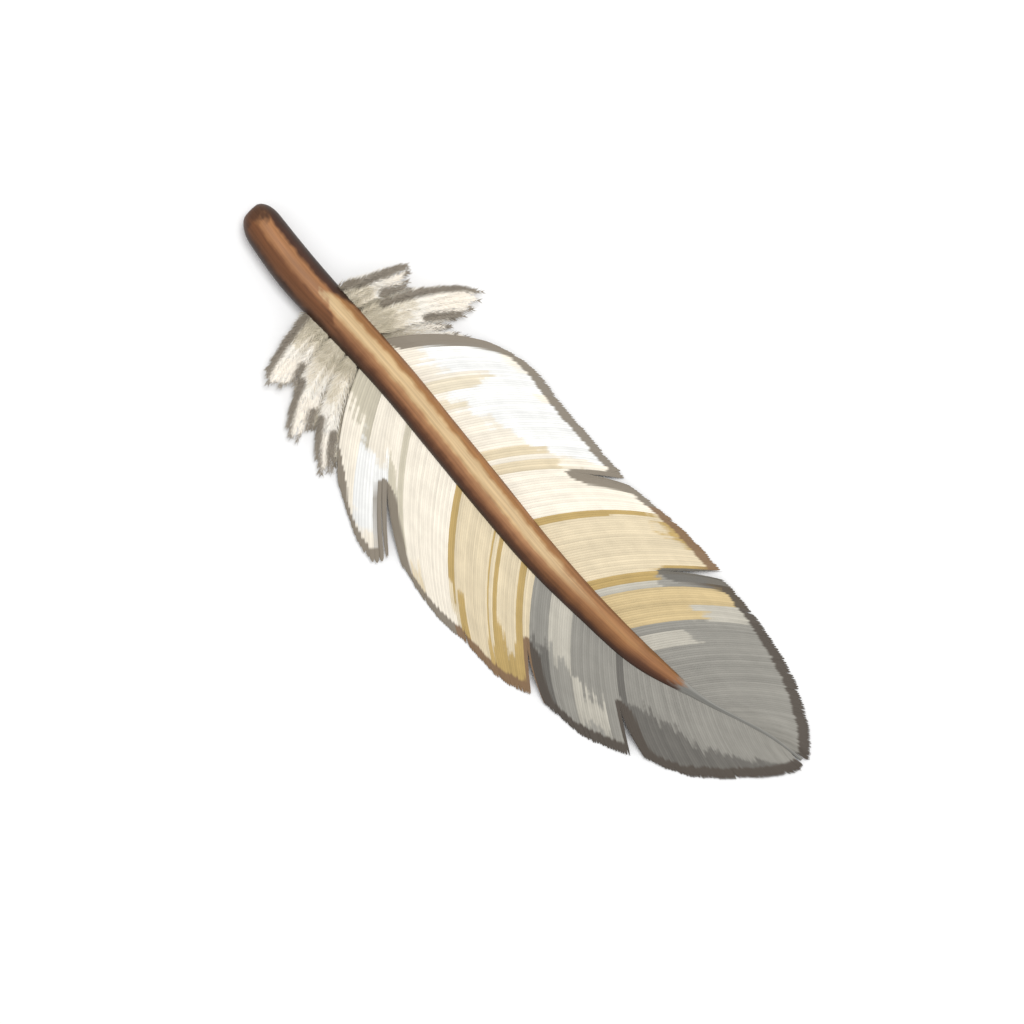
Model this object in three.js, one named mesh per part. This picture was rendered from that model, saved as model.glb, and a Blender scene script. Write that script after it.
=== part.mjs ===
// A broad bird feather, lying back side up on a flat surface.
// Millimetres, +Z up. X runs along the feather from the quill to the tip, and +Y is the left vane's side.
// The origin is on the surface, under the middle of the flat stretch that the quill rests on.
//
// The shaft is one tapering rod: the bare quill, then the rachis, arched so that its middle stands clear of the surface.
// Each vane is a thin sheet of barbs that leave the shaft at about 45 degrees and droop to the surface at their tips.
// The barbs hold together in locks, and a vane is split between two locks. The lowest locks are loose, puffy down.
import * as THREE from "three";

// The shaft, at stations along X: sideways place, height of the underside, half width and half depth.
const SHAFT_STATIONS = [
  { x: -10.5, y: 1.3, lift: 0, halfWidth: 3.8, halfDepth: 3.5 },
  { x: 4, y: -0.7, lift: 0, halfWidth: 4.25, halfDepth: 3.5 },
  { x: 18, y: -1.3, lift: 0.2, halfWidth: 3.9, halfDepth: 3.2 },
  { x: 32, y: -2.0, lift: 1.4, halfWidth: 3.75, halfDepth: 2.9 },
  { x: 46, y: -3.4, lift: 2.8, halfWidth: 3.7, halfDepth: 2.7 },
  { x: 60, y: -4.8, lift: 3.8, halfWidth: 3.65, halfDepth: 2.5 },
  { x: 74, y: -6.1, lift: 4.2, halfWidth: 3.4, halfDepth: 2.3 },
  { x: 88, y: -6.5, lift: 4.0, halfWidth: 2.9, halfDepth: 2.0 },
  { x: 102, y: -6.1, lift: 3.2, halfWidth: 2.4, halfDepth: 1.5 },
  { x: 116, y: -3.6, lift: 2.1, halfWidth: 0.7, halfDepth: 0.6 },
  { x: 130, y: 0.5, lift: 0.9, halfWidth: 0.4, halfDepth: 0.35 },
  { x: 137.5, y: 1.6, lift: 0.5, halfWidth: 0.3, halfDepth: 0.3 },
];
const SHAFT_SIDES = 16;
const SHAFT_STEP = 3.5; // between two rings of the rod
const FLAT_SHARE = 0.97; // the axis stands this share of the half depth over the surface, which flattens the underside
// The quill's blunt end, from the small hollow in its middle: share of the half width, and distance from the end.
const QUILL_END = [
  [0, 1.2],
  [0.26, 0.9],
  [0.38, 0],
  [0.62, 0.4],
  [0.84, 1.5],
  [0.95, 2.7],
  [1, 4.2],
];

// The barbs' roots stay this far off the rod.
const ROOT_GAP = 0.3;
const ROOT_HEIGHT = 0.15; // of the half depth, over the rod's axis
const BOW = 0.06; // a barb's bow towards the quill, as a share of its length
const DROOP = 1.8; // power of the curve by which a barb falls from its root to its tip

// A sheet of barbs: thickness at the roots and at the tips, the rise of its ribs, and the notches between rib ends.
const VANE = { rootThick: 1.1, tipThick: 0.6, puff: 0, rib: 0.18, notch: 0.5, rows: 7, pitch: 1.45 };
const DOWN = { rootThick: 1.6, tipThick: 0.7, puff: 2.6, rib: 0.3, notch: 0.9, rows: 7, pitch: 0.75 };

// Locks of barbs from the quill to the tip. A guide barb is [root x, tip x, tip y, height of its tip's underside].
// split is how far the notch after a lock cuts in, as a share of the barbs' length.
const LEFT_DOWN = [
  { guides: [[11.5, 14, 6.4, 2], [13, 17.2, 13.8, 3.2], [14.5, 18.4, 15, 3.4], [16.5, 20.8, 11.8, 2.4]], split: 0.7 },
  { guides: [[18, 28.2, 19.8, 1.8], [20, 31.8, 21.7, 2.2], [23, 32.6, 16.2, 1.4]] },
];
const LEFT_VANE = [
  {
    guides: [
      [24.8, 39.4, 15.9, 1.4],
      [30.9, 47.3, 18.3, 1],
      [43.6, 59.4, 17.2, 0.4],
      [58.4, 75.7, 16.1, 0.2],
    ],
    split: 0.45,
  },
  { guides: [[59.6, 77.8, 15.8, 0.7], [71.7, 90.8, 16.8, 0], [83, 101.8, 16.3, 0]], split: 0.45 },
  {
    guides: [
      [84.6, 103.6, 15.6, 0.5],
      [93.5, 112.5, 15, 0],
      [103, 120.2, 13.2, 0],
      [112, 127.6, 10.8, 0.1],
      [120, 133.2, 7.8, 0.3],
      [128, 137.3, 4.2, 0.4],
      [134.5, 139, 2.2, 0.5],
    ],
  },
];
const RIGHT_DOWN = [
  {
    guides: [
      [11, 11.1, -6.2, 1.4],
      [12, 12.1, -13.1, 2.4],
      [13.2, 13.1, -18, 3],
      [14.5, 15, -20, 3.2],
      [16.4, 19, -16.8, 2.2],
    ],
    split: 0.25,
  },
  { guides: [[17.4, 21.5, -20, 1.6], [18.6, 24, -23.8, 1.8], [19.8, 25.9, -24.2, 1.6], [21, 27.3, -21.5, 1]], split: 0.2 },
  { guides: [[22, 29.5, -21.4, 1], [23, 33.4, -24.8, 1], [24.2, 35.6, -23.4, 0.8]] },
];
const RIGHT_VANE = [
  {
    guides: [
      [25.4, 38.5, -24.2, 0.8],
      [28.5, 44, -26.9, 0.6],
      [31, 49.6, -29.3, 0.8],
      [33, 53.6, -29.6, 1.1],
      [34.4, 54.6, -27.2, 1],
    ],
    split: 0.5,
  },
  {
    guides: [
      [36.2, 58.6, -26.4, 0.4],
      [44.8, 67, -28.2, 0],
      [56, 77.3, -28.3, 0],
      [68, 88.1, -28.1, 0],
      [74.4, 92.6, -26.6, 0.2],
    ],
    split: 0.45,
  },
  {
    guides: [
      [75.8, 95.4, -25.9, 0.6],
      [81, 100.6, -25.4, 0.1],
      [87, 106.6, -24.6, 0],
      [96, 114.4, -21.2, 0.3],
    ],
    split: 0.5,
  },
  {
    guides: [
      [97.6, 116.6, -19.6, 0.6],
      [103, 122.7, -17.2, 0],
      [111, 129.2, -12, 0.1],
      [120, 134.6, -6.6, 0.3],
      [128, 138.2, -1.7, 0.4],
      [134.5, 139.2, 1.2, 0.5],
    ],
  },
];

const FINISHES = {
  shaft: { color: "#8c5d3b", roughness: 0.4 },
  vane: { color: "#eadcc0", roughness: 0.75 },
  down: { color: "#f3eee2", roughness: 0.9 },
};

// A smooth curve through rows of numbers, the first of which is the place along the curve.
function smoothThrough(rows) {
  const places = rows.map((row) => row[0]);
  const values = rows.flatMap((row) => row.slice(1));
  const curve = new THREE.CubicInterpolant(places, values, rows[0].length - 1);
  return (place) => Array.from(curve.evaluate(place));
}

const shaftCurve = smoothThrough(SHAFT_STATIONS.map((s) => [s.x, s.y, s.lift, s.halfWidth, s.halfDepth]));

// The rod at one station: its sideways place, its axis height, its half width and its half depth.
function shaftAt(x) {
  const [y, lift, halfWidth, halfDepth] = shaftCurve(x);
  return { y, axis: Math.max(lift, 0) + FLAT_SHARE * halfDepth, halfWidth, halfDepth };
}

// A lathe turned spindle of unit radius, bent onto the shaft's curve and given its width and depth.
function shaftGeometry() {
  const first = SHAFT_STATIONS[0].x;
  const last = SHAFT_STATIONS.at(-1).x;
  const profile = QUILL_END.map(([radius, along]) => new THREE.Vector2(radius, first + along));
  const bodyStart = profile.at(-1).y;
  const steps = Math.round((last - bodyStart) / SHAFT_STEP);
  for (let i = 1; i <= steps; i++) {
    profile.push(new THREE.Vector2(1, THREE.MathUtils.lerp(bodyStart, last, i / steps)));
  }
  profile.push(new THREE.Vector2(0, last));
  const halfSide = Math.PI / SHAFT_SIDES;
  const rod = new THREE.LatheGeometry(profile.reverse(), SHAFT_SIDES, halfSide);
  const place = rod.getAttribute("position");
  for (let i = 0; i < place.count; i++) {
    const x = place.getY(i);
    const { y, axis, halfWidth, halfDepth } = shaftAt(x);
    const z = axis + place.getZ(i) * halfDepth;
    place.setXYZ(i, x, y + place.getX(i) * halfWidth, Math.max(z, 0));
  }
  return rod;
}

// Every barb of a sheet, in order: its root, its tip and how the sheet is shaped there.
function barbsOf(locks, { pitch, notch, rib, puff }) {
  const barbs = [];
  locks.forEach(({ guides, split }, index) => {
    const tipAt = smoothThrough(guides);
    const first = guides[0][0];
    const last = guides.at(-1)[0];
    const count = 2 * Math.max(2, Math.round((last - first) / pitch / 2));
    for (let i = 0; i <= count; i++) {
      const root = THREE.MathUtils.lerp(first, last, i / count);
      const ribbed = i % 2;
      barbs.push({
        root,
        tip: tipAt(root),
        short: ribbed ? 0 : notch * Number(i > 0 && i < count),
        rise: rib * ribbed + puff * Math.sin((Math.PI * i) / count),
      });
    }
    if (split === undefined) return;
    const before = barbs.at(-1);
    const after = locks[index + 1].guides[0];
    const root = (before.root + after[0]) / 2;
    const tip = before.tip.map((value, axis) => (value + after[axis + 1]) / 2);
    barbs.push({ root, tip, reach: 1 - split, short: 0, rise: 0 });
  });
  return barbs;
}

// The place of a sheet's point: along is 0 at a barb's root and 1 at its tip, and up is 0 below and 1 on top.
function barbPoint(side, barb, sheet, along, up) {
  const { y, axis, halfWidth, halfDepth } = shaftAt(barb.root);
  const start = new THREE.Vector2(barb.root, y + side * (halfWidth + ROOT_GAP));
  const chord = new THREE.Vector2(barb.tip[0], barb.tip[1]).sub(start);
  const share = along * ((barb.reach ?? 1) - barb.short / chord.length());
  const bow = side * BOW * 4 * share * (1 - share);
  const thick = THREE.MathUtils.lerp(sheet.rootThick, sheet.tipThick, share);
  const rootUnder = axis + ROOT_HEIGHT * halfDepth - sheet.rootThick / 2;
  const under = THREE.MathUtils.lerp(rootUnder, Math.max(barb.tip[2], 0), share ** DROOP);
  const swell = barb.rise * Math.sin(Math.PI * Math.min(1, 0.1 + share));
  return new THREE.Vector3(
    start.x + chord.x * share - chord.y * bow,
    start.y + chord.y * share + chord.x * bow,
    under + up * (thick + swell),
  );
}

// A sheet of barbs: a box divided into one strip for each barb, moved onto the barbs.
function sheetGeometry(side, locks, sheet) {
  const barbs = barbsOf(locks, sheet);
  if (side < 0) barbs.reverse(); // keeps the faces outward on the mirrored side
  const strips = barbs.length - 1;
  const grid = new THREE.BoxGeometry(1, 1, 1, strips, sheet.rows, 1);
  const place = grid.getAttribute("position");
  for (let i = 0; i < place.count; i++) {
    const barb = barbs[Math.round((place.getX(i) + 0.5) * strips)];
    const point = barbPoint(side, barb, sheet, place.getY(i) + 0.5, place.getZ(i) + 0.5);
    place.setXYZ(i, point.x, point.y, point.z);
  }
  return grid;
}

function piece(name, geometry, finish) {
  const mesh = new THREE.Mesh(geometry, new THREE.MeshStandardMaterial({ ...finish, metalness: 0 }));
  mesh.name = name;
  geometry.computeVertexNormals();
  return mesh;
}

const LEFT = 1;
const RIGHT = -1;
const feather = new THREE.Group();
feather.name = "feather";
feather.add(
  piece("shaft", shaftGeometry(), FINISHES.shaft),
  piece("left_vane", sheetGeometry(LEFT, LEFT_VANE, VANE), FINISHES.vane),
  piece("right_vane", sheetGeometry(RIGHT, RIGHT_VANE, VANE), FINISHES.vane),
  piece("left_down", sheetGeometry(LEFT, LEFT_DOWN, DOWN), FINISHES.down),
  piece("right_down", sheetGeometry(RIGHT, RIGHT_DOWN, DOWN), FINISHES.down),
);

export default feather;
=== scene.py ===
"""A broad bird feather with separate barbs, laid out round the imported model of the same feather.

Sizes are in millimetres until a mesh is made, which turns them to metres. X runs from the quill to the tip.
"""

import math

import bmesh
import bpy
import numpy as np
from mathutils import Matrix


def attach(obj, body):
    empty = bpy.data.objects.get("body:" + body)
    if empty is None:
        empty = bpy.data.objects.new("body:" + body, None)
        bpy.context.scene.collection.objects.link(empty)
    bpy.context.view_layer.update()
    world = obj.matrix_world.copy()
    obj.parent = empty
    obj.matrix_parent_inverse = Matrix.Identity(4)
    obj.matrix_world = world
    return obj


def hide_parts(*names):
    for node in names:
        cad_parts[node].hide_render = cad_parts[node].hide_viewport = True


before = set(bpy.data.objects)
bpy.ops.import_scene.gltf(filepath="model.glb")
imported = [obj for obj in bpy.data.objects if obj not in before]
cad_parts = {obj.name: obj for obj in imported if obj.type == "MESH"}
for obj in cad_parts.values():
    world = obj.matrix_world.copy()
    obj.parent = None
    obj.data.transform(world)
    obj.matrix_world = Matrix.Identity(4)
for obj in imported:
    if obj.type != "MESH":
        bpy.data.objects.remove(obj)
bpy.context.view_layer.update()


# The shaft: one rod of brown horn, a bare round quill that runs on as the rachis between the two vanes.
# It grew as a tube, so the quill's blunt end keeps a dimple, and past the quill its belly has a groove.
# The barbs grow out of both of its sides.
MM = 0.001  # in metres
# Along X: the sideways place, the height of the underside, the half width and the half depth.
SHAFT_STATIONS = [
    (-10.5, 1.3, 0, 3.8, 3.5),
    (4, -0.7, 0, 4.25, 3.5),
    (18, -1.3, 0.2, 3.9, 3.2),
    (32, -2.0, 1.4, 3.75, 2.9),
    (46, -3.4, 2.8, 3.7, 2.7),
    (60, -4.8, 3.8, 3.65, 2.5),
    (74, -6.1, 4.2, 3.4, 2.3),
    (88, -6.5, 4.0, 2.9, 2.0),
    (102, -6.1, 3.2, 2.4, 1.5),
    (116, -3.6, 2.1, 0.7, 0.6),
    (130, 0.5, 0.9, 0.4, 0.35),
    (137.5, 1.6, 0.5, 0.3, 0.3),
]
FLAT_SHARE = 0.97  # the axis stands this share of the half depth over the underside
# The quill's blunt end, from the dimple in its middle: share of the half width, and distance from the end.
QUILL_END = [
    (0, 1.2), (0.18, 1.1), (0.3, 0.6), (0.38, 0.1), (0.48, 0.05), (0.62, 0.4), (0.74, 0.9),
    (0.84, 1.5), (0.91, 2.15), (0.95, 2.7), (0.985, 3.4), (1, 4.2),
]
SHAFT_SIDES = 32
SHAFT_STEP = 1.2  # between two rings of the rod
# Past the quill the rod turns squarer and has a groove below. Their sizes are shares of the rod's own.
SQUARE = {"start": 14, "full": 40, "share": 0.07}
GROOVE = {"start": 18, "full": 34, "depth": 0.42, "half_width": 0.34}
PIT = {"x": 13, "radius": 0.9, "depth": 0.7}  # the closed pore under the quill's upper end
BELLY = (0.1, 0.6)  # of the way down from the axis, where the groove and the pit start and are at full depth
SHARP_ANGLE = math.radians(50)  # between two faces whose edge stays sharp


def smooth_through(rows):
    """A smooth curve through rows of numbers, the first of which is the place along the curve."""
    rows = np.array(rows, float)
    places, values = rows[:, 0], rows[:, 1:]
    secants = np.diff(values, axis=0) / np.diff(places)[:, None]
    slopes = np.vstack([secants[:1], (secants[:-1] + secants[1:]) / 2, secants[-1:]])

    def at(place):
        place = np.asarray(place, float)
        i = np.clip(np.searchsorted(places, place) - 1, 0, len(places) - 2)
        step = (places[i + 1] - places[i])[..., None]
        p = (place - places[i])[..., None] / step
        start = (1 + 2 * p) * (1 - p) ** 2 * values[i] + p * (1 - p) ** 2 * step * slopes[i]
        end = p**2 * (3 - 2 * p) * values[i + 1] - p**2 * (1 - p) * step * slopes[i + 1]
        return start + end

    return at


def ease(low, high, value):
    """0 below low, 1 above high, and a smooth step between them."""
    share = np.clip((value - low) / (high - low), 0, 1)
    return share * share * (3 - 2 * share)


shaft_curve = smooth_through(SHAFT_STATIONS)


def shaft_at(x):
    """The rod at a station: its sideways place, its axis height, its half width and its half depth."""
    y, lift, half_width, half_depth = np.moveaxis(shaft_curve(x), -1, 0)
    return y, np.maximum(lift, 0) + FLAT_SHARE * half_depth, half_width, half_depth


def give(mesh, **values):
    """Stores a number for each point of a mesh under each name."""
    for name, numbers in values.items():
        layer = mesh.attributes.new(name, "FLOAT", "POINT")
        layer.data.foreach_set("value", np.ravel(numbers).astype(np.float32))


def spun_rod():
    """A spindle of unit radius round the X axis, from the dimple in the quill's end to the tip."""
    first, last = SHAFT_STATIONS[0][0], SHAFT_STATIONS[-1][0]
    outline = [(first + along, radius) for radius, along in QUILL_END]
    body = outline[-1][0]
    outline += [(x, 1) for x in np.linspace(body, last, round((last - body) / SHAFT_STEP))[1:]]
    outline.append((last, 0))
    bm = bmesh.new()
    points = [bm.verts.new((x, 0, radius)) for x, radius in outline]
    edges = [bm.edges.new(pair) for pair in zip(points, points[1:])]
    bmesh.ops.spin(
        bm,
        geom=points + edges,
        cent=(0, 0, 0),
        axis=(1, 0, 0),
        angle=2 * math.pi,
        steps=SHAFT_SIDES,
        use_merge=True,
    )
    bmesh.ops.remove_doubles(bm, verts=bm.verts, dist=1e-4)
    return bm


def made_object(name, mesh, material):
    """Links a finished mesh as an object at the origin, smooth shaded but for its thin edges."""
    mesh.shade_smooth()
    mesh.set_sharp_from_angle(angle=SHARP_ANGLE)
    mesh.materials.append(material)
    piece = bpy.data.objects.new(name, mesh)
    bpy.context.scene.collection.objects.link(piece)
    return piece


def shaft_mesh():
    """The spindle with its rings moved onto the rod's curve and stretched to its width and depth."""
    bm = spun_rod()
    x, across, up = np.array([v.co for v in bm.verts]).T
    y, axis, half_width, half_depth = shaft_at(x)
    square = 1 + SQUARE["share"] * ease(SQUARE["start"], SQUARE["full"], x) * (2 * across * up) ** 2
    place_y = y + across * square * half_width
    place_z = axis + up * square * half_depth
    under = ease(*BELLY, -up)
    groove = ease(GROOVE["start"], GROOVE["full"], x) * GROOVE["depth"] * half_depth
    place_z += under * groove * np.exp(-((across / GROOVE["half_width"]) ** 2))
    pit = ((x - PIT["x"]) ** 2 + (across * half_width) ** 2) / PIT["radius"] ** 2
    place_z += under * PIT["depth"] * np.exp(-pit)
    for vert, point in zip(bm.verts, np.stack([x, place_y, np.maximum(place_z, 0)], 1) * MM):
        vert.co = point
    bmesh.ops.recalc_face_normals(bm, faces=bm.faces)
    mesh = bpy.data.meshes.new("shaft_horn")
    bm.to_mesh(mesh)
    bm.free()
    give(mesh, station=x, across=across, up=up)
    return mesh


def linear(code):
    """An sRGB hex colour as the linear colour that a shader works in."""
    parts = [int(code[i : i + 2], 16) / 255 for i in (1, 3, 5)]
    return (*[part / 12.92 if part <= 0.04045 else ((part + 0.055) / 1.055) ** 2.4 for part in parts], 1)


def add(tree, kind, settings=None, inputs=None):
    """Adds a node. stops fills a colour ramp, and an input is a value or another node's output."""
    made = tree.nodes.new("ShaderNode" + kind)
    for name, value in (settings or {}).items():
        if name == "stops":
            ramp = made.color_ramp.elements
            for i, (position, colour) in enumerate(value):
                stop = ramp[i] if i < len(ramp) else ramp.new(position)
                stop.position = position
                stop.color = linear(colour) if isinstance(colour, str) else (colour, colour, colour, 1)
        elif name == "interpolation":
            made.color_ramp.interpolation = value
        else:
            setattr(made, name, value)
    for name, value in (inputs or {}).items():
        if isinstance(value, bpy.types.NodeSocket):
            tree.links.new(value, made.inputs[name])
        else:
            made.inputs[name].default_value = value
    return made.outputs


def new_material(name):
    """A material with no nodes yet, and its node tree."""
    material = bpy.data.materials.new(name)
    material.use_nodes = True
    material.node_tree.nodes.clear()
    return material, material.node_tree


STATION_START, STATION_SPAN = -12, 156  # a colour band's place is a share of this stretch of the feather


def by_station(stops):
    """Ramp stops from places along the feather."""
    return [((x - STATION_START) / STATION_SPAN, colour) for x, colour in stops]


def by_side(stops):
    """Ramp stops from places across the rod, from -1 to 1."""
    return [((across + 1) / 2, colour) for across, colour in stops]


def horn_material():
    """Keratin horn, grown and dried: semi-gloss, with fine lines along the rod, painted shade along its
    sides, and a paler ridge on top that is partly the horn's own stripe and partly a painted highlight.
    """
    material, tree = new_material("brown_keratin_horn")
    station = add(tree, "Attribute", {"attribute_name": "station"})["Fac"]
    across = add(tree, "Attribute", {"attribute_name": "across"})["Fac"]
    place = add(tree, "CombineXYZ", inputs={0: station, 1: across})[0]
    # Real growth fibres are too fine to show, so they are drawn about 0.4 mm wide and 12 mm long.
    # The mottling is in patches about 2 mm wide and 3 mm long.
    stretched = add(tree, "VectorMath", {"operation": "MULTIPLY"}, {0: place, 1: (0.08, 9, 1)})[0]
    fibre = add(tree, "TexNoise", {"noise_dimensions": "2D"},
                {"Vector": stretched, "Scale": 1.0, "Detail": 3.0})[0]
    patches = add(tree, "VectorMath", {"operation": "MULTIPLY"}, {0: place, 1: (0.34, 1.7, 1)})[0]
    mottle = add(tree, "TexNoise", {"noise_dimensions": "2D"},
                 {"Vector": patches, "Scale": 1.0, "Detail": 2.0})[0]
    # The bands wander a little sideways with the mottling.
    wander = add(tree, "Math", {"operation": "MULTIPLY_ADD"}, {0: mottle, 1: 0.24, 2: -0.12})[0]
    shifted = add(tree, "Math", {"operation": "ADD"}, {0: across, 1: wander})[0]
    side = add(tree, "MapRange", inputs={"Value": shifted, "From Min": -1.0, "From Max": 1.0})[0]
    # Shades across the rod, from its right side at -1 to its left side at 1. Both edges hold painted shade,
    # darkest on the right side, away from the light, and the pale ridge is partly a painted highlight.
    bands = {
        "quill": [(-1, "#2f1d13"), (-0.84, "#432a1b"), (-0.66, "#6a452d"), (-0.2, "#74492c"),
                  (-0.02, "#9d6c43"), (0.46, "#a5734a"), (0.62, "#4a2e22"), (1, "#322015")],
        "back": [(-1, "#2e1c13"), (-0.84, "#3f2719"), (-0.64, "#573623"), (-0.5, "#754d32"),
                 (-0.34, "#936543"), (-0.12, "#a97b52"), (0.04, "#c6a475"), (0.14, "#ceb083"),
                 (0.46, "#cfb184"), (0.64, "#a27447"), (0.84, "#9a6c45"), (1, "#7d573a")],
        "upper": [(-1, "#301e15"), (-0.72, "#452a1b"), (-0.4, "#754c2c"), (-0.05, "#926239"),
                  (0.25, "#a87a4c"), (0.6, "#9c6e48"), (1, "#7b5437")],
        "end": [(-1, "#33211a"), (-0.4, "#573623"), (0, "#8d5f3c"), (0.5, "#9d6d46"), (1, "#73502f")],
        "tip": [(-1, "#85837d"), (0, "#74736e"), (1, "#a3a19a")],
        "butt": [(-1, "#3f281a"), (-0.4, "#5c3b27"), (0.3, "#553723"), (1, "#3b281b")],
    }
    ramps = {
        name: add(tree, "ValToRGB", {"stops": by_side(stops)}, {"Fac": side})[0]
        for name, stops in bands.items()
    }
    # A band starts sooner beside the pale ridge, with its painted highlight, than on it, or later where the
    # pull is negative, as a tongue.
    from_ridge = add(tree, "Math", {"operation": "SUBTRACT"}, {0: shifted, 1: 0.3})[0]
    from_ridge = add(tree, "Math", {"operation": "ABSOLUTE"}, {0: from_ridge})[0]
    ragged = 5.0  # mm by which the start of a band wanders along the rod
    jitter = add(tree, "Math", {"operation": "MULTIPLY_ADD"}, {0: mottle, 1: ragged, 2: station})[0]
    colour = ramps["quill"]
    for name, start, full, pull in (
        ("back", 8.5, 11, -9.0),
        ("upper", 74, 92, 12.0),
        ("end", 98, 104, 3.0),
        ("tip", 108.5, 112, 0.0),
    ):
        reached = add(tree, "Math", {"operation": "MULTIPLY_ADD"}, {0: from_ridge, 1: pull, 2: jitter})[0]
        share = add(tree, "MapRange", {"interpolation_type": "SMOOTHSTEP"},
                    {"Value": reached, "From Min": start + ragged / 2, "From Max": full + ragged / 2})[0]
        colour = add(tree, "MixRGB", inputs={"Fac": share, "Color1": colour, "Color2": ramps[name]})[0]
    # The blunt end is darker.
    share = add(tree, "MapRange", {"interpolation_type": "SMOOTHSTEP"},
                {"Value": jitter, "From Min": -6.1, "From Max": -4.1, "To Min": 1.0, "To Max": 0.0})[0]
    colour = add(tree, "MixRGB", inputs={"Fac": share, "Color1": colour, "Color2": ramps["butt"]})[0]
    streak = add(tree, "MapRange", inputs={
        "Value": fibre, "From Min": 0.3, "From Max": 0.7, "To Min": 0.82, "To Max": 1.1})[0]
    colour = add(tree, "MixRGB", {"blend_type": "MULTIPLY"},
                 {"Fac": 1.0, "Color1": colour, "Color2": streak})[0]
    bump = add(tree, "Bump", inputs={"Height": fibre, "Strength": 0.25, "Distance": 0.0001})[0]
    shader = add(tree, "BsdfPrincipled", inputs={
        "Base Color": colour, "Roughness": 0.46, "IOR": 1.54, "Specular IOR Level": 0.24, "Normal": bump})[0]
    add(tree, "OutputMaterial", inputs={"Surface": shader})
    return material


shaft = made_object("horn_shaft", shaft_mesh(), horn_material())
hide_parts("shaft")
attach(shaft, "root")


# The vanes: two rows of keratin barbs, narrow blades that hook onto their neighbours and make one sheet.
# Where the hooks have let go the vane is split, and the barbs on each side of a split stay joined as a lock.
# They grow out of the shaft's sides, and each has its own shades, so bands of colour run along the barbs.
BARB_PITCH = 0.55  # between two roots on the shaft
BARB_BOW = 0.06  # of a barb's length, towards the quill
BARB_DROOP = 1.8  # power of the fall from the root to the tip
ROOT_HEIGHT = 0.15  # of the half depth, over the shaft's axis
ROOT_INSET = 0.8  # of the half width, so that each root is grown into the shaft
SHEET_HALF = 0.3  # a tip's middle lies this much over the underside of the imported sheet
# A blade's rings, as shares of its length, are closest at its tip.
BLADE_RINGS = np.concatenate([np.linspace(0, 0.9, 10), [0.945, 0.98, 1.0]])
# Each blade is wider than the distance to the next one, and rolled a little, so that its edge lies over it.
# Its thickness is root times thick at the shaft, and loses thins times thick on the way to its tip.
BLADE = {"overlap": 1.6, "widest": 1.1, "thick": 0.25, "root": 1.25, "thins": 0.75, "roll": math.radians(13)}
POINT = {"length": 1.1, "width": 0.22, "thickness": 0.4}  # the last two are shares left at the very tip
FIBRE_SIDES = 4  # of blades, threads and branches, few because there are thousands of them
LONE_SPACING = 0.7  # of the pitch, taken as the distance to the next blade where there is none
STOP_SHORT = 0.15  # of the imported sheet's edge, by the free ends
LOWEST = {"middle": 0.16, "edge": 0.02}  # over the surface
# Small groups of barbs part at their outer ends, past the share parts_at of their length.
GROUP = {"fewest": 6, "most": 16, "parts_at": 0.62}
# How far a group's ends sway, lift and reach, how rounded its outer edge is, and how high its middle stands.
GROUP_ENDS = {"sway": 0.26, "lift": 0.12, "reach": (-0.3, 0.2), "rounded": 0.2, "crown": 0.14}
OWN = {"sway": 0.05, "reach": 0.08, "roll": math.radians(2.5), "shade": 0.3}  # each barb's own differences
# At a split the barbs bend apart by this share of the gap, less so further off and not at all out of reach.
# The gap opens from its inner end with this power.
SPLIT = {"share": 0.9, "fade": 5, "reach": 12, "power": 1.6}
# By a split the dusky rim is painted shade in the gap between the locks.
RIM = {
    "split": 1.35,  # how many times narrower the dusky rim is by a split or a vane's foot than at a free end
    "thin": 4,  # how many times narrower again it is on the quill's side of a split
    "inward": 0.04,  # share of a barb's length by which the rim runs on past a split's inner end
    "pitch": 1.2,  # the most that the distance between two barbs counts for
}

# Guide barbs from the quill to the tip: root x, tip x, tip y and the height of the tip's underside.
# split is how far the gap after a lock cuts in, as a share of the barbs' length.
# thin_rim takes the place of RIM's thin at that gap.
LEFT_LOCKS = [
    {"guides": [(24.8, 39.4, 15.9, 1.4), (30.9, 47.3, 18.3, 1), (43.6, 59.4, 17.2, 0.4),
                (58.4, 75.7, 16.1, 0.2)],
     "split": 0.45},
    {"guides": [(59.6, 77.8, 15.8, 0.7), (71.7, 90.8, 16.8, 0), (83, 101.8, 16.3, 0)],
     "split": 0.45},
    {"guides": [(84.6, 103.6, 15.6, 0.5), (93.5, 112.5, 15, 0), (103, 120.2, 13.2, 0),
                (112, 127.6, 10.8, 0.1), (120, 133.2, 7.8, 0.3), (128, 137.3, 4.2, 0.4),
                (134.5, 139, 2.2, 0.5)]},
]
RIGHT_LOCKS = [
    {"guides": [(25.4, 38.5, -24.2, 0.8), (28.5, 44, -26.9, 0.6), (31, 49.6, -29.3, 0.8),
                (33, 53.6, -29.6, 1.1), (34.4, 54.6, -27.2, 1)],
     "split": 0.5, "thin_rim": 1},
    {"guides": [(36.2, 58.6, -26.4, 0.4), (44.8, 67, -28.2, 0), (56, 77.3, -28.3, 0),
                (68, 88.1, -28.1, 0), (74.4, 92.6, -26.6, 0.2)],
     "split": 0.45},
    {"guides": [(75.8, 95.4, -25.9, 0.6), (81, 100.6, -25.4, 0.1), (87, 106.6, -24.6, 0),
                (96, 114.4, -21.2, 0.3)],
     "split": 0.5},
    {"guides": [(97.6, 116.6, -19.6, 0.6), (103, 122.7, -17.2, 0), (111, 129.2, -12, 0.1),
                (120, 134.6, -6.6, 0.3), (128, 138.2, -1.7, 0.4), (134.5, 139.2, 1.2, 0.5)]},
]
LEFT, RIGHT = 1, -1


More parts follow.
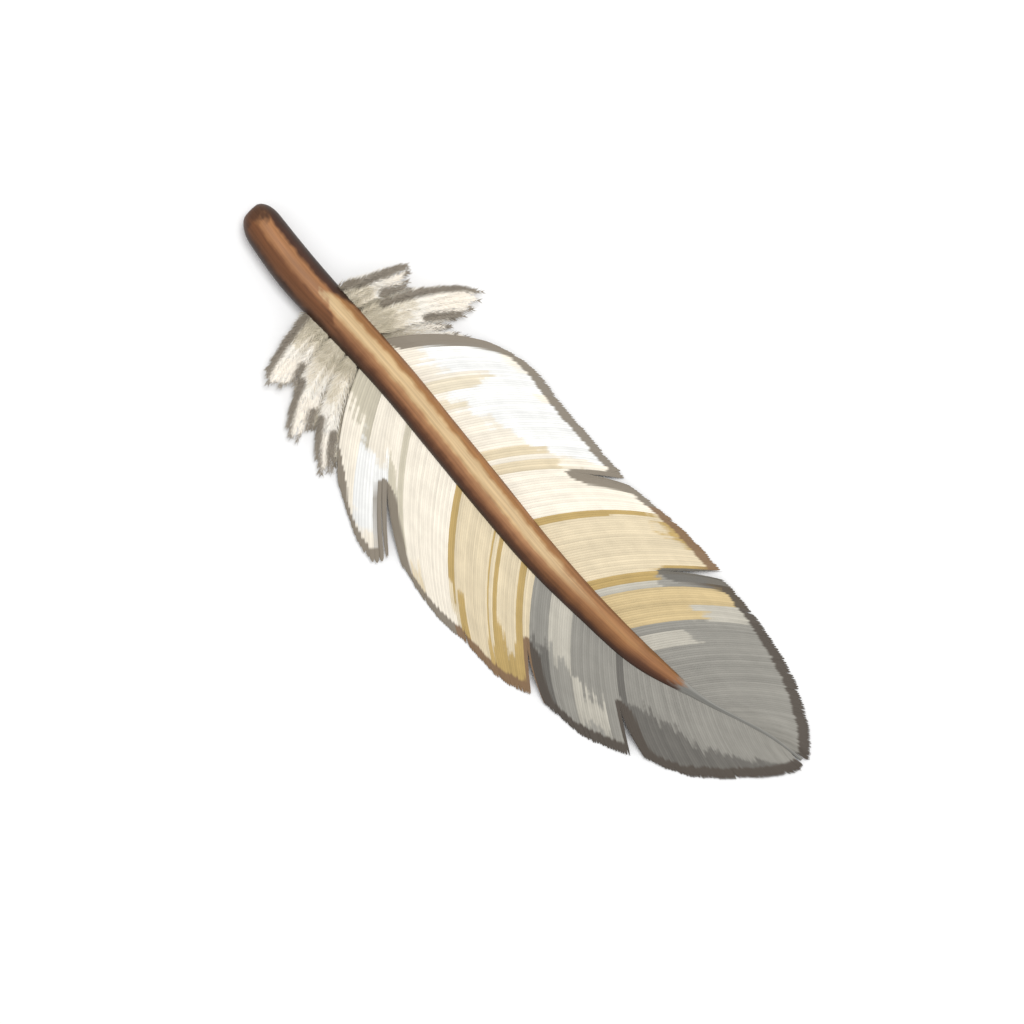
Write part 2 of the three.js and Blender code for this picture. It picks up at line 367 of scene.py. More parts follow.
def template(sides, segments, tip_radius=1.0):
    """A closed prism with rings of points: each point's ring, its place on the unit circle, and the faces."""
    bm = bmesh.new()
    bmesh.ops.create_cone(bm, cap_ends=True, segments=sides, radius1=1, radius2=tip_radius, depth=1)
    long_edges = [edge for edge in bm.edges if abs(edge.verts[0].co.z - edge.verts[1].co.z) > 0.5]
    if segments > 1:
        bmesh.ops.subdivide_edges(bm, edges=long_edges, cuts=segments - 1, use_grid_fill=True)
    bmesh.ops.recalc_face_normals(bm, faces=bm.faces)
    bm.verts.index_update()
    points = np.array([v.co for v in bm.verts])
    faces = [[v.index for v in face.verts] for face in bm.faces]
    bm.free()
    ring = np.rint((points[:, 2] + 0.5) * segments).astype(int)
    return ring, points[:, :2], faces


def joined_copies(name, *groups):
    """One mesh from copies of templates. A group is the copies' points and the faces of their template."""
    all_points, all_faces, used = [], [], 0
    for points, faces in groups:
        copies, each = points.shape[:2]
        starts = range(used, used + copies * each, each)
        all_faces += [[start + corner for corner in face] for start in starts for face in faces]
        all_points.append(points.reshape(-1, 3))
        used += copies * each
    mesh = bpy.data.meshes.new(name)
    mesh.from_pydata(np.concatenate(all_points) * MM, [], all_faces)
    return mesh


def unit(vectors):
    """The vectors with a length of one."""
    return vectors / np.maximum(np.linalg.norm(vectors, axis=-1, keepdims=True), 1e-9)


def barb_rows(locks):
    """A vane's barbs from quill to tip: root, tip, tip as if unsplit and lock, and the edges of the locks."""
    first = [lock["guides"][0][0] for lock in locks]
    last = [lock["guides"][-1][0] for lock in locks]
    edges = [first[0]] + [(a + b) / 2 for a, b in zip(last, first[1:])] + [last[-1]]
    count = round((edges[-1] - edges[0]) / BARB_PITCH)
    root = np.linspace(edges[0], edges[-1], count)
    lock = np.clip(np.searchsorted(edges, root, side="right") - 1, 0, len(locks) - 1)
    tip = np.zeros((count, 3))
    for i, guides in enumerate(lock_i["guides"] for lock_i in locks):
        tip[lock == i] = smooth_through(guides)(np.clip(root[lock == i], first[i], last[i]))
    whole = tip.copy()
    for i, edge in enumerate(edges[1:-1]):
        gap = tip[lock == i + 1][0] - tip[lock == i][-1]
        near = np.exp(-np.abs(root - edge) / SPLIT["fade"])[:, None] * gap / 2 * SPLIT["share"]
        whole += np.where((lock == i)[:, None], near, 0) - np.where((lock == i + 1)[:, None], near, 0)
    return root, tip, whole, lock, edges


def small_groups(count, lock, rng):
    """Runs of neighbouring barbs: each barb's group and its place in it, and the number of groups."""
    group, inside = np.zeros(count, int), np.zeros(count)
    start, number = 0, 0
    while start < count:
        end = min(count, start + rng.integers(GROUP["fewest"], GROUP["most"] + 1))
        changes = np.nonzero(np.diff(lock[start:end]))[0]
        if len(changes):
            end = start + changes[0] + 1
        group[start:end] = number
        inside[start:end] = (np.arange(end - start) + 0.5) / (end - start)
        start, number = end, number + 1
    return group, inside, number


def barb_lines(side, locks, t, rng):
    """A vane's barbs: their middle lines at the shares t, lengths from above, roots, locks and groups."""
    root, tip, whole, lock, edges = barb_rows(locks)
    count = len(root)
    group, inside, groups = small_groups(count, lock, rng)
    y, axis, half_width, half_depth = shaft_at(root)
    start = np.stack([root, y + side * half_width * ROOT_INSET, axis + ROOT_HEIGHT * half_depth], 1)
    tip[:, 2] += SHEET_HALF
    whole[:, 2] += SHEET_HALF
    # A group's shared sway, reach and lift, and each barb's own small differences.
    sway = rng.normal(0, GROUP_ENDS["sway"], groups)[group] + rng.normal(0, OWN["sway"], count)
    reach = -STOP_SHORT + rng.uniform(*GROUP_ENDS["reach"], groups)[group]
    reach += rng.normal(0, OWN["reach"], count)
    reach -= GROUP_ENDS["rounded"] * (2 * inside - 1) ** 4
    lift = rng.uniform(0, GROUP_ENDS["lift"], groups)[group]
    lift += GROUP_ENDS["crown"] * (1 - (2 * inside - 1) ** 2)

    opening = np.zeros((count, len(t)))
    for edge, lock_below in zip(edges[1:-1], locks):
        cut = 1 - lock_below["split"]
        close = np.abs(root - edge)[:, None] < SPLIT["reach"]
        opened = np.clip((t - cut) / (1 - cut), 0, 1) ** SPLIT["power"]
        opening = np.where(close, np.maximum(opening, opened), opening)
    # A barb runs from its root to its tip, bends aside at a split, bows to the quill and droops.
    chord = whole[:, None] - start[:, None]
    middle = start[:, None] + chord * t[:, None]
    middle += (tip - whole)[:, None] * opening[..., None]
    bow = side * BARB_BOW * 4 * t * (1 - t)
    middle[..., 0] -= chord[..., 1] * bow
    middle[..., 1] += chord[..., 0] * bow
    middle[..., 2] = start[:, None, 2] + (tip[:, None, 2] - start[:, None, 2]) * t**BARB_DROOP
    # Its group sways along the vane's margin, and reaches out from the shaft.
    parting = np.clip((t - GROUP["parts_at"]) / (1 - GROUP["parts_at"]), 0, 1) ** 2
    margin = unit(np.gradient(tip, axis=0) * [1, 1, 0])
    outward = unit((tip - start) * [1, 1, 0])
    middle += margin[:, None] * (sway[:, None] * parting)[..., None]
    middle += outward[:, None] * (reach[:, None] * t**3)[..., None]
    middle[..., 2] += lift[:, None] * np.sin(np.pi * np.clip(t, 0.05, 0.95)) ** 0.5
    middle[..., 2] = np.maximum(middle[..., 2], LOWEST["middle"])
    return middle, np.linalg.norm((tip - start)[:, :2], axis=1), root, lock, group


def beside_rims(step, length, t, lock, locks, foot_rim):
    """How far each point lies from the vane's lower edge and, past its inner end, from each split."""
    across_vane = np.vstack([np.zeros(len(t)), np.cumsum(np.minimum(step, RIM["pitch"]), axis=0)])
    beside = RIM["split"] * across_vane + np.maximum(foot_rim - t, 0) * length[:, None]
    for i, lock_below in enumerate(locks[:-1]):
        below = np.nonzero(lock == i)[0][-1]
        inner = np.maximum(1 - lock_below["split"] + RIM["inward"] - t, 0) * length[:, None]
        lower_side = (across_vane[below] - across_vane) * lock_below.get("thin_rim", RIM["thin"])
        apart = np.maximum(lower_side, across_vane - across_vane[below + 1])
        beside = np.minimum(beside, RIM["split"] * np.hypot(np.maximum(apart, 0), inner))
    return beside


def vane_mesh(name, side, locks, foot_rim, seed):
    """One vane's barbs. Its lowest barbs are dusky along their sides from the share foot_rim outwards."""
    rng = np.random.default_rng(seed)
    t = BLADE_RINGS
    middle, length, root, lock, group = barb_lines(side, locks, t, rng)
    count = len(root)
    along = unit(np.gradient(middle, axis=1))
    sideways = unit(np.cross(along, [0, 0, side]))  # towards the quill
    upward = unit(np.cross(sideways, along)) * side
    step = np.diff(middle, axis=0)
    step = np.linalg.norm(step - (step * along[:-1]).sum(-1, keepdims=True) * along[:-1], axis=-1)
    beside = beside_rims(step, length, t, lock, locks, foot_rim)

    together = (group[1:] == group[:-1])[:, None]
    step = np.where(together, step, np.inf)
    spacing = np.minimum(np.vstack([step, step[-1:]]), np.vstack([step[:1], step]))
    spacing = np.where(np.isfinite(spacing), spacing, BARB_PITCH * LONE_SPACING)
    half = np.minimum(spacing * BLADE["overlap"], BLADE["widest"]) / 2
    # A blade narrows to its point, and is thickest at its root.
    left_over = (1 - t) * length[:, None]
    half *= POINT["width"] + (1 - POINT["width"]) * ease(-0.2, POINT["length"], left_over)
    thick = BLADE["thick"] / 2 * (BLADE["root"] - BLADE["thins"] * t)
    thick = thick * (POINT["thickness"] + (1 - POINT["thickness"]) * ease(0, POINT["length"], left_over))

    ring, circle, faces = template(FIBRE_SIDES, len(t) - 1)
    if side == LEFT:
        # This side's blades mirror the other side's, so their faces are turned to point outward.
        faces = [face[::-1] for face in faces]
    roll = BLADE["roll"] + rng.normal(0, OWN["roll"], count)[:, None]
    out = circle[:, 0] * half[:, ring]
    high = circle[:, 1] * thick[:, ring]
    wide = out * np.cos(roll) - high * np.sin(roll)
    tall = out * np.sin(roll) + high * np.cos(roll)
    points = middle[:, ring] + sideways[:, ring] * wide[..., None] + upward[:, ring] * tall[..., None]
    points[..., 2] = np.maximum(points[..., 2], LOWEST["edge"])
    mesh = joined_copies(name, (points, faces))
    shade = root + rng.normal(0, OWN["shade"], count)
    give(
        mesh,
        station=np.repeat(shade, len(ring)),
        share=np.tile(t[ring], count),
        rim=np.minimum(left_over, beside)[:, ring],
        across=out,
        along=(t * length[:, None])[:, ring],
        barb=np.repeat(rng.random(count), len(ring)),
    )
    return mesh


def barb_material(name, inner, middle, tips, meet, edge):
    """Keratin barbs, grown and pigmented barb by barb: silky, with fine hooked branches across each blade."""
    material, tree = new_material(name)
    read = {
        word: add(tree, "Attribute", {"attribute_name": word})["Fac"]
        for word in ("station", "share", "rim", "across", "along", "barb")
    }
    band = add(tree, "MapRange", inputs={
        "Value": read["station"], "From Min": STATION_START, "From Max": STATION_START + STATION_SPAN})[0]
    # The shades meet at a line that wanders in clouds about 3 mm wide, and a little from barb to barb.
    place = add(tree, "CombineXYZ", inputs={0: read["station"], 1: read["along"]})[0]
    cloud = add(tree, "TexNoise", {"noise_dimensions": "2D"},
                {"Vector": place, "Scale": 0.33, "Detail": 3.0})[0]
    own = add(tree, "Math", {"operation": "MULTIPLY_ADD"}, {0: read["barb"], 1: 0.1, 2: -0.05})[0]
    wander = add(tree, "Math", {"operation": "MULTIPLY_ADD"}, {0: cloud, 1: 0.3, 2: -0.15})[0]
    reach = add(tree, "Math", {"operation": "ADD"}, {0: read["share"], 1: own})[0]
    reach = add(tree, "Math", {"operation": "ADD"}, {0: reach, 1: wander})[0]
    ramps = [
        add(tree, "ValToRGB", {"stops": by_station(stops), "interpolation": "CONSTANT"}, {"Fac": band})[0]
        for stops in (inner, middle, tips, edge)
    ]
    line = add(tree, "ValToRGB", {"stops": by_station(meet)}, {"Fac": band})[0]
    past = add(tree, "Math", {"operation": "SUBTRACT"}, {0: reach, 1: line})[0]
    share = add(tree, "MapRange", {"interpolation_type": "SMOOTHSTEP"},
                {"Value": past, "From Min": -0.05, "From Max": 0.05})[0]
    colour = add(tree, "MixRGB", inputs={"Fac": share, "Color1": ramps[0], "Color2": ramps[1]})[0]
    share = add(tree, "MapRange", {"interpolation_type": "SMOOTHSTEP"},
                {"Value": reach, "From Min": 0.76, "From Max": 0.9})[0]
    colour = add(tree, "MixRGB", inputs={"Fac": share, "Color1": colour, "Color2": ramps[2]})[0]
    # Each barb is a little lighter or darker than the next, and painted shade darkens each blade towards its
    # edges, where it meets the next blade.
    shade = add(tree, "MapRange", inputs={"Value": read["barb"], "To Min": 0.89, "To Max": 1.05})[0]
    soft = add(tree, "MapRange", inputs={
        "Value": cloud, "From Min": 0.3, "From Max": 0.7, "To Min": 0.94, "To Max": 1.04})[0]
    aside = add(tree, "Math", {"operation": "ABSOLUTE"}, {0: read["across"]})[0]
    painted_edge_shade = add(tree, "MapRange", {"interpolation_type": "SMOOTHSTEP"},
                {"Value": aside, "From Min": 0.05, "From Max": 0.26, "To Min": 1.03, "To Max": 0.89})[0]
    for factor in (shade, soft, painted_edge_shade):
        colour = add(tree, "MixRGB", {"blend_type": "MULTIPLY"},
                     {"Fac": 1.0, "Color1": colour, "Color2": factor})[0]
    # The free ends have a dusky fringe and the splits get painted shade, a little further in on one barb than
    # on the next.
    fringe_and_shade = add(tree, "Math", {"operation": "MULTIPLY_ADD"}, {0: read["barb"], 1: 0.5, 2: read["rim"]})[0]
    dusk = add(tree, "MapRange", {"interpolation_type": "SMOOTHSTEP"},
               {"Value": fringe_and_shade, "From Min": 2.6, "From Max": 3.4, "To Min": 0.96, "To Max": 0.0})[0]
    colour = add(tree, "MixRGB", inputs={"Fac": dusk, "Color1": colour, "Color2": ramps[3]})[0]
    # The hooked branches leave the spine at 45 degrees on both sides. Real ones are too fine to show.
    apart = 0.16  # mm, as drawn
    chevron = add(tree, "Math", {"operation": "SUBTRACT"}, {0: read["along"], 1: aside})[0]
    wave = add(tree, "Math", {"operation": "MULTIPLY"}, {0: chevron, 1: 2 * math.pi / apart})[0]
    wave = add(tree, "Math", {"operation": "SINE"}, {0: wave})[0]
    bump = add(tree, "Bump", inputs={"Height": wave, "Strength": 0.35, "Distance": 0.00002})[0]
    shader = add(tree, "BsdfPrincipled", inputs={
        "Base Color": colour, "Roughness": 0.62, "IOR": 1.54, "Specular IOR Level": 0.28,
        "Sheen Weight": 0.12, "Sheen Roughness": 0.4, "Normal": bump})[0]
    add(tree, "OutputMaterial", inputs={"Surface": shader})
    return material


WHITE, PEARL, CREAM = "#fdfdfa", "#f9f9f6", "#f9f0df"
FAWN, TAN, HONEY, STRAW = "#eee2c9", "#e5d5b5", "#c0a469", "#d3bc8d"
# The beige on the next line is painted shade, used near the shaft and beside the splits.
SILVER, GREY, SLATE, PAINTED_SHADE_BEIGE = "#c2bdb0", "#98958d", "#6f6c66", "#d0c8b3"
DUSK, UMBER, SOOT = "#877d6f", "#866a4f", "#544c44"

# A shade starts at the root x beside it and lasts until the next one starts.
# meet is the share of a barb's length at which its inner shade gives way to its middle one.
left_vane = made_object(
    "left_vane_barbs",
    vane_mesh("left_vane_barbs", LEFT, LEFT_LOCKS, foot_rim=0.1, seed=11),
    barb_material(
        "left_vane_keratin",
        inner=[(-12, PAINTED_SHADE_BEIGE), (27, CREAM), (35.2, FAWN), (37.6, CREAM), (40.4, FAWN), (42, CREAM), (51.5, TAN),
               (54.5, CREAM), (56.2, TAN), (57.8, CREAM), (67.3, HONEY), (69.6, TAN), (83.4, HONEY),
               (85.6, SILVER), (87.2, STRAW), (95.6, GREY), (98.2, SILVER), (102, GREY)],
        middle=[(-12, CREAM), (27, PEARL), (56.2, CREAM), (67.3, HONEY), (68.7, TAN), (82, HONEY),
                (84.6, GREY), (87.2, STRAW), (91.8, SILVER), (96.5, GREY)],
        tips=[(-12, CREAM), (34, PEARL), (39.8, CREAM), (42, PEARL), (56.5, CREAM), (67.3, TAN), (70, HONEY),
              (76.5, TAN), (82, HONEY), (87.2, STRAW), (91, SILVER), (95, GREY)],
        meet=[(24, 0.3), (28, 0.2), (34.4, 0.2), (35.2, 0.56), (37.2, 0.56), (38.4, 0.12), (44, 0.2),
              (48, 0.3), (51, 0.45), (56, 0.62), (58, 0.5), (82, 0.55), (87, 0.5), (91.5, 0.5), (95, 0.62),
              (98, 0.3), (102, 0.4)],
        edge=[(-12, DUSK), (66, UMBER), (83, SLATE), (86.5, SOOT)],
    ),
)
right_vane = made_object(
    "right_vane_barbs",
    vane_mesh("right_vane_barbs", RIGHT, RIGHT_LOCKS, foot_rim=0.8, seed=12),
    barb_material(
        "right_vane_keratin",
        inner=[(-12, PAINTED_SHADE_BEIGE), (31.2, CREAM), (37.4, PAINTED_SHADE_BEIGE), (39.8, CREAM), (52.6, HONEY), (54.6, TAN),
               (65.2, HONEY), (67.4, TAN), (71.4, HONEY), (73.6, TAN), (75.3, GREY), (80.5, SILVER),
               (86, GREY), (96.8, SLATE), (98.5, GREY)],
        middle=[(-12, CREAM), (29.8, WHITE), (35.2, PAINTED_SHADE_BEIGE), (39.8, CREAM), (52.8, TAN), (55.2, HONEY),
                (57.6, TAN), (65.2, HONEY), (73.6, TAN), (75.3, SLATE), (80.5, GREY), (85.4, SILVER),
                (93, GREY), (97.6, SLATE)],
        tips=[(-12, CREAM), (41, TAN), (44.4, CREAM), (55.4, HONEY), (57.6, TAN), (64, HONEY), (73.6, TAN),
              (75.3, SLATE), (80.5, GREY), (97.6, SLATE)],
        meet=[(24, 0.3), (30, 0.3), (34, 0.38), (36, 0.3), (41, 0.7), (52, 0.55), (55, 0.7), (60, 0.6),
              (68, 0.6), (70, 0.74), (75, 0.5), (80, 0.45), (86, 0.48), (92, 0.6), (97, 0.4), (105, 0.4),
              (112, 0.62), (134, 0.75)],
        edge=[(-12, DUSK), (53, UMBER), (75.2, SOOT)],
    ),
)
for vane, node in ((left_vane, "left_vane"), (right_vane, "right_vane")):
    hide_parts(node)
    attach(vane, "root")


# The down: loose keratin barbs below the vanes, without hooks, each a limp thread with long fine branches.
# They grow out of the sides of the quill's upper end and lie together in soft tufts that puff up a little.
# Between a tuft and the next one, or the vane, short barbs lie deep in a hollow.

# Guide barbs are as for the vanes. rim is the share of the first and of the last barb past which the outline
# is dusky, and hollow is how far the short barbs after the tuft reach, as shares of the way.
LEFT_TUFTS = [
    {"guides": [(11.5, 14, 6.4, 2), (13, 17.2, 13.8, 3.2), (14.5, 18.4, 15, 3.4), (16.5, 20.8, 11.8, 2.4)],
     "barbs": 17, "hollow": (0.6, 0.95), "rim": (0.1, 0.55), "hollow_shade": 0.75},
    {"guides": [(18, 28.2, 19.8, 1.8), (20, 31.8, 21.7, 2.2), (23, 32.6, 16.2, 1.4)],
     "barbs": 19, "hollow": (0.5, 0.85), "rim": (0.25, 0.55), "hollow_shade": 0.85},
]
RIGHT_TUFTS = [
    {"guides": [(11, 11.1, -6.2, 1.4), (12, 12.1, -13.1, 2.4), (13.2, 13.1, -18, 3), (14.5, 15, -20, 3.2),
                (16.4, 19, -16.8, 2.2)],
     "barbs": 24, "hollow": (0.5, 0.95), "rim": (0.1, 0.65)},
    {"guides": [(17.4, 21.5, -20, 1.6), (18.6, 24, -23.8, 1.8), (19.8, 25.9, -24.2, 1.6),
                (21, 27.3, -21.5, 1)],
     "barbs": 14, "hollow": (0.5, 0.95), "rim": (0.6, 0.75)},
    {"guides": [(22, 29.5, -21.4, 1), (23, 33.4, -24.8, 1), (24.2, 35.6, -23.4, 0.8)],
     "barbs": 12, "hollow": (0.6, 0.95), "rim": (0.75, 0.6)},
]
DOWN_LIFT = 0.5  # of the guides' tips, over the heights above
DOWN_LOWEST = 0.05  # over the surface
# A long barb thins to its tip, waves sideways and puffs up, and some stop short of the outline.
THREAD = {
    "radius": 0.13,
    "thins": 0.8,
    "segments": 12,
    "length": (0.9, 1.0),
    "wave": 0.3,
    "turns": (0.7, 1.6),
    "calm": 0.12,  # share of a half wave at which the tuft's outer barbs stand, so that they wave less
    "puff": (-0.4, 1.3),
}
# Branches are long near a thread's root and short near its tip, and bend forward. Spreads are in radians.
BRANCH = {
    "first": 0.02,
    "spacing": 0.2,
    "long": 1.9,
    "short": 0.8,
    "shortens": 1.5,
    "varies": (0.75, 1.1),
    "angle": math.radians(36),
    "angle_spread": 0.15,
    "tilt": 0.1,
    "tilt_spread": 0.5,
    "bend": 0.25,
    "half_width": 0.085,
    "half_depth": 0.035,
    "thins": 0.55,
    "point": 0.3,
    "segments": 2,
}
# Short barbs root below the shaft's axis, lie low, and get the painted shade of this share of a long barb,
# unless their tuft says otherwise.
HOLLOW = {"barbs": 11, "root": -0.3, "sinks": 0.4, "lowest": 0.3, "shade": 0.35}


def barb_path(side, root, tip, depth, share):
    """Points of limp barbs at shares of the way from the shaft to their tips, and directions across them."""
    y, axis, half_width, half_depth = shaft_at(root)
    start = np.stack([root, y + side * half_width * ROOT_INSET, axis + depth * half_depth], 1)
    chord = tip - start
    path = start[:, None] + chord[:, None] * share[..., None]
    bow = side * BARB_BOW * 4 * share * (1 - share)
    path[..., 0] -= chord[:, None, 1] * bow
    path[..., 1] += chord[:, None, 0] * bow
    return path, unit(np.cross(chord * [1, 1, 0], [0, 0, 1]))


def tuft_threads(side, tuft, beyond, t, rng):
    """Paths of a tuft's long barbs and its hollow's short ones, which of them are short, and the outline."""
    guides = np.array(tuft["guides"], float)
    root = np.linspace(guides[0, 0], guides[-1, 0], tuft["barbs"])
    tip = smooth_through(guides)(root) + [0, 0, DOWN_LIFT]
    whole, _ = barb_path(side, root, tip, ROOT_HEIGHT, t[None])
    lower, upper = tuft["rim"]
    outline = np.concatenate([whole[0, t >= lower], tip, whole[-1, t >= upper][::-1]])[:, :2]
    count = len(root)
    long, across = barb_path(side, root, tip, ROOT_HEIGHT, t * rng.uniform(*THREAD["length"], count)[:, None])
    phase, turns = rng.uniform(0, 2 * math.pi, (count, 1)), rng.uniform(*THREAD["turns"], (count, 1))
    # The tuft's outer barbs wave less than its inner ones.
    inner = np.sin(np.pi * np.linspace(THREAD["calm"], 1 - THREAD["calm"], count))[:, None]
    swing = THREAD["wave"] * np.sin(phase + turns * 2 * math.pi * t) * t * inner
    long += across[:, None] * swing[..., None]
    long[..., 2] += rng.uniform(*THREAD["puff"], (count, 1)) * 4 * t * (1 - t) * (1.2 - t)
    pair = np.array([tuft["guides"][-1], beyond], float)
    between = pair[0] + (pair[1] - pair[0]) * rng.uniform(0, 1, (HOLLOW["barbs"], 1))
    share = t * rng.uniform(*tuft["hollow"], (HOLLOW["barbs"], 1))
    short, _ = barb_path(side, between[:, 0], between[:, 1:], HOLLOW["root"], share)
    short[..., 2] = np.maximum(short[..., 2] - HOLLOW["sinks"], HOLLOW["lowest"])
    return np.concatenate([long, short]), np.repeat([False, True], [count, HOLLOW["barbs"]]), outline


def distance_to(line, points):
    """How far each point lies from a line through the given corners, on the surface."""
    nearest = np.full(points.shape[:-1], np.inf)
    for a, b in zip(line, line[1:]):
        if not np.allclose(a, b):
            along = np.clip(((points - a) @ (b - a)) / ((b - a) @ (b - a)), 0, 1)
            nearest = np.minimum(nearest, np.linalg.norm(points - a - along[..., None] * (b - a), axis=-1))
    return nearest


def branches_on(path, t, ring, circle, rng):
    """The fine branches of one thread: their points, and how far along the thread each starts."""
    along = unit(np.gradient(path, axis=0))
    length = np.linalg.norm(np.diff(path, axis=0), axis=-1).sum()
    number = int(length / BRANCH["spacing"]) * 2
    at = np.sort(rng.uniform(BRANCH["first"], 1, number))
    hand = np.where(np.arange(number) % 2, 1, -1)[:, None]
    base = np.stack([np.interp(at, t, path[:, k]) for k in range(3)], 1)
    ahead = unit(np.stack([np.interp(at, t, along[:, k]) for k in range(3)], 1))
    aside = unit(np.cross(ahead, [0, 0, 1])) * hand
    raised = np.cross(aside, ahead) * hand
    tilt = rng.normal(BRANCH["tilt"], BRANCH["tilt_spread"], number)[:, None]
    lean = BRANCH["angle"] + rng.normal(0, BRANCH["angle_spread"], number)[:, None]
    going = ahead * np.cos(lean) + (aside * np.cos(tilt) + raised * np.sin(tilt)) * np.sin(lean)
    span = BRANCH["long"] + (BRANCH["short"] - BRANCH["long"]) * at ** BRANCH["shortens"]
    span *= rng.uniform(*BRANCH["varies"], number)
    u = ring / BRANCH["segments"]
    middle = base[:, None] + going[:, None] * (span[:, None] * u)[..., None]
    middle += ahead[:, None] * (BRANCH["bend"] * span[:, None] * u**2)[..., None]
    level = unit(np.cross([0, 0, 1], going))
    steep = unit(np.cross(going, level))
    wide = level[:, None] * circle[:, :1] * BRANCH["half_width"]
    deep = steep[:, None] * circle[:, 1:] * BRANCH["half_depth"]
    return middle + (wide + deep) * (1 - BRANCH["thins"] * u)[:, None], at


def tuft_mesh(name, side, tuft, beyond, rng):
    """One tuft: its threads with all their branches. In a hollow the share is low, so it gets painted shade.
    """
    t = np.linspace(0, 1, THREAD["segments"] + 1)
    path, hollow, outline = tuft_threads(side, tuft, beyond, t, rng)
    along = unit(np.gradient(path, axis=1))
    sideways = unit(np.cross([0, 0, 1], along))
    upward = np.cross(along, sideways)
    thread_ring, circle, thread_faces = template(FIBRE_SIDES, THREAD["segments"])
    radius = (THREAD["radius"] * (1 - THREAD["thins"] * t))[thread_ring]
    round_it = sideways[:, thread_ring] * circle[:, :1] + upward[:, thread_ring] * circle[:, 1:]
    threads = path[:, thread_ring] + round_it * radius[:, None]

    ring, circle, faces = template(FIBRE_SIDES, BRANCH["segments"], BRANCH["point"])
    grown = [branches_on(one, t, ring, circle, rng) for one in path]
    branches = np.concatenate([points for points, _ in grown])
    numbers = [len(at) for _, at in grown]
    in_hollow = np.repeat(hollow, numbers)
    hollow_shade = tuft.get("hollow_shade", HOLLOW["shade"])
    starts = np.concatenate([at for _, at in grown]) * np.where(in_hollow, hollow_shade, 1)

    floor = [-np.inf, -np.inf, DOWN_LOWEST]
    threads, branches = np.maximum(threads, floor), np.maximum(branches, floor)
    mesh = joined_copies(name, (threads, thread_faces), (branches, faces))
    thread_share = np.where(hollow, hollow_shade, 1)[:, None] * t[thread_ring]
    # A long barb is dusky by the tuft's outline, and a short one gets painted shade round its own end, deep
    # in the hollow.
    ends = path[:, -1:]
    rims = []
    for points, shaded, end in (
        (threads, hollow, ends),
        (branches, in_hollow, np.repeat(ends, numbers, axis=0)),
    ):
        from_end = np.linalg.norm((points - end)[..., :2], axis=-1)
        rims.append(np.where(shaded[:, None], from_end, distance_to(outline, points[..., :2])).ravel())
    own = [np.repeat(rng.random(len(points)), points.shape[1]) for points in (threads, branches)]
    give(
        mesh,
        share=np.concatenate([thread_share.ravel(), np.repeat(starts, len(ring))]),
        rim=np.concatenate(rims),
        barb=np.concatenate(own),
    )
    return mesh


def down_material():
    """Downy keratin: matt and soft, off-white, with painted shade near the shaft and in the hollows, and a
    dusky outline.
    """
    material, tree = new_material("downy_keratin")
    read = {
        word: add(tree, "Attribute", {"attribute_name": word})["Fac"]
        for word in ("share", "rim", "barb")
    }
    place = add(tree, "TexCoord")["Object"]
    # Soft clouds about 4 mm wide, and a difference from each thread and branch to the next.
    cloud = add(tree, "TexNoise", inputs={"Vector": place, "Scale": 250.0, "Detail": 1.0})[0]
    wander = add(tree, "Math", {"operation": "MULTIPLY_ADD"}, {0: cloud, 1: 0.5, 2: read["share"]})[0]
    wander = add(tree, "Math", {"operation": "MULTIPLY_ADD"}, {0: read["barb"], 1: 0.22, 2: wander})[0]
    # Painted shade: the ramp is darker at low shares, near the shaft and in the hollows.
    stops = [(0.3, "#c3baa3"), (0.5, "#d3cab5"), (0.66, "#efe6d4"), (0.85, "#fdfaf3"), (1, "#fff8ec")]
    colour = add(tree, "ValToRGB", {"stops": stops}, {"Fac": wander})[0]
    fringe_and_shade = add(tree, "Math", {"operation": "MULTIPLY_ADD"}, {0: read["barb"], 1: 0.6, 2: read["rim"]})[0]
    dusk = add(tree, "MapRange", {"interpolation_type": "SMOOTHSTEP"},
               {"Value": fringe_and_shade, "From Min": 0.9, "From Max": 1.7, "To Min": 0.92, "To Max": 0.0})[0]
    colour = add(tree, "MixRGB", inputs={"Fac": dusk, "Color1": colour, "Color2": linear(DUSK)})[0]
    shader = add(tree, "BsdfPrincipled", inputs={
        "Base Color": colour, "Roughness": 0.85, "IOR": 1.54, "Specular IOR Level": 0.15,
        "Sheen Weight": 0.2, "Sheen Roughness": 0.6})[0]
    add(tree, "OutputMaterial", inputs={"Surface": shader})
    return material


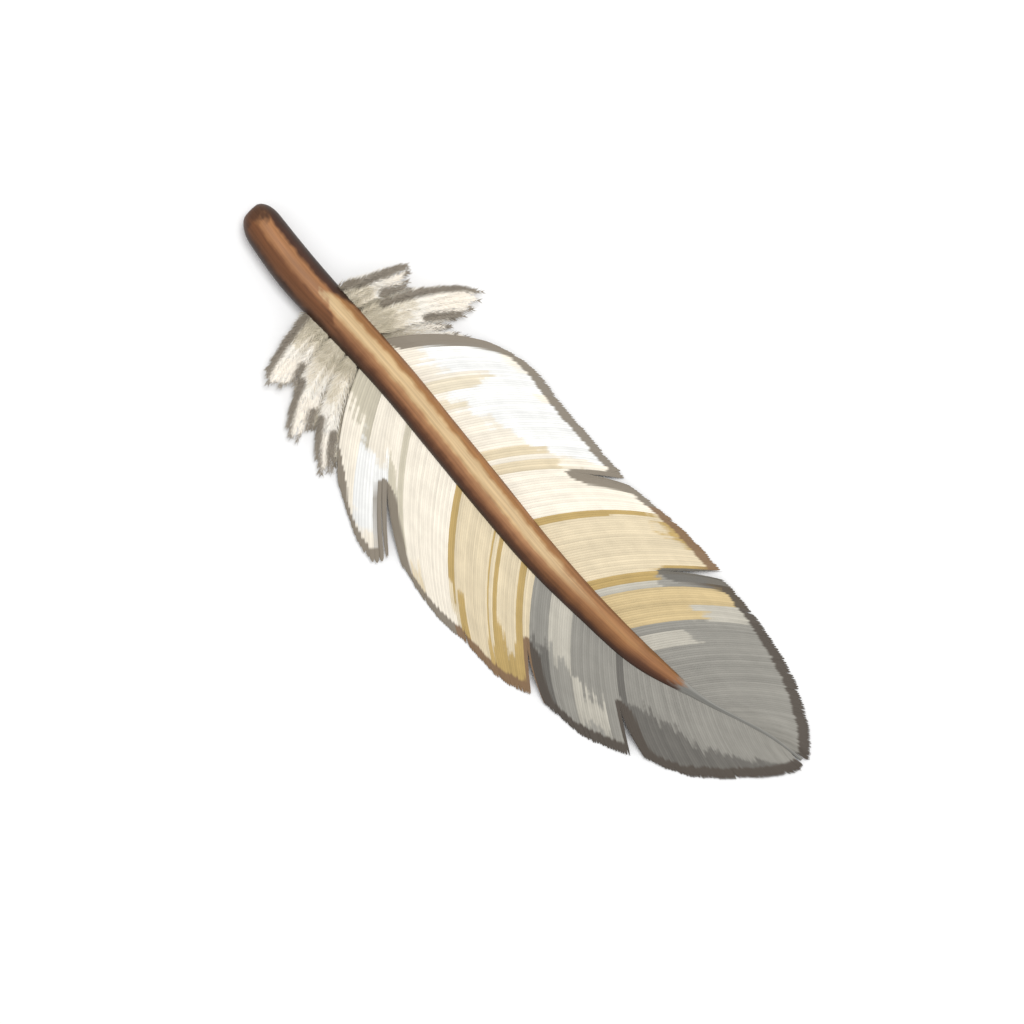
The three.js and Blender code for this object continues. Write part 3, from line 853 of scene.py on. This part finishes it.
downy = down_material()
for side, word, tufts, vane_foot, seed in (
    (LEFT, "left", LEFT_TUFTS, LEFT_LOCKS[0]["guides"][0], 21),
    (RIGHT, "right", RIGHT_TUFTS, RIGHT_LOCKS[0]["guides"][0], 22),
):
    rng = np.random.default_rng(seed)
    next_guides = [tuft["guides"][0] for tuft in tufts[1:]] + [vane_foot]
    for number, (tuft, beyond) in enumerate(zip(tufts, next_guides), 1):
        name = f"{word}_down_tuft_{number}"
        piece = made_object(name, tuft_mesh(name, side, tuft, beyond, rng), downy)
        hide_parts(word + "_down")
        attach(piece, "root")


# The stage: a plain white table top in soft daylight from a window beyond the feather's left side.
# It is seen from straight above, with the quill at the upper left and the tip at the lower right.
FLOOR_SIZE = 3.0  # in metres
VIEW_CENTRE = (65.0, -4.1)  # X and Y
VIEW_WIDTH = 195.7  # of the table top
LENS, SENSOR = 100, 36
DAYLIGHT = 0.65
WINDOW = {"place": (0.05, 0.22, 0.9), "size": 0.35, "power": 4.5}  # in metres and watts

bm = bmesh.new()
bmesh.ops.create_grid(bm, x_segments=1, y_segments=1, size=FLOOR_SIZE / 2)
floor_mesh = bpy.data.meshes.new("table_top")
bm.to_mesh(floor_mesh)
bm.free()
floor_material, floor_tree = new_material("white_matt_paint")
paint = add(floor_tree, "BsdfPrincipled", inputs={"Base Color": linear("#fdfdfd"), "Roughness": 0.9})[0]
add(floor_tree, "OutputMaterial", inputs={"Surface": paint})
made_object("table_top", floor_mesh, floor_material)

world = bpy.data.worlds.new("daylight")
world.use_nodes = True
sky = world.node_tree.nodes["Background"].inputs
sky["Color"].default_value = (1, 1, 1, 1)
sky["Strength"].default_value = DAYLIGHT
bpy.context.scene.world = world

lamp = bpy.data.lights.new("window", "AREA")
lamp.size = WINDOW["size"]
lamp.energy = WINDOW["power"]
window = bpy.data.objects.new("window", lamp)
window.location = WINDOW["place"]
window.rotation_mode = "QUATERNION"
window.rotation_quaternion = window.location.to_track_quat("Z", "Y")
bpy.context.scene.collection.objects.link(window)

camera = bpy.data.objects.new("camera", bpy.data.cameras.new("camera"))
camera.data.lens = LENS
camera.data.sensor_width = SENSOR
camera.location = (VIEW_CENTRE[0] * MM, VIEW_CENTRE[1] * MM, VIEW_WIDTH * MM * LENS / SENSOR)
camera.rotation_euler = (0, 0, math.radians(45))
bpy.context.scene.collection.objects.link(camera)
bpy.context.scene.camera = camera
bpy.context.scene.view_settings.view_transform = "Standard"
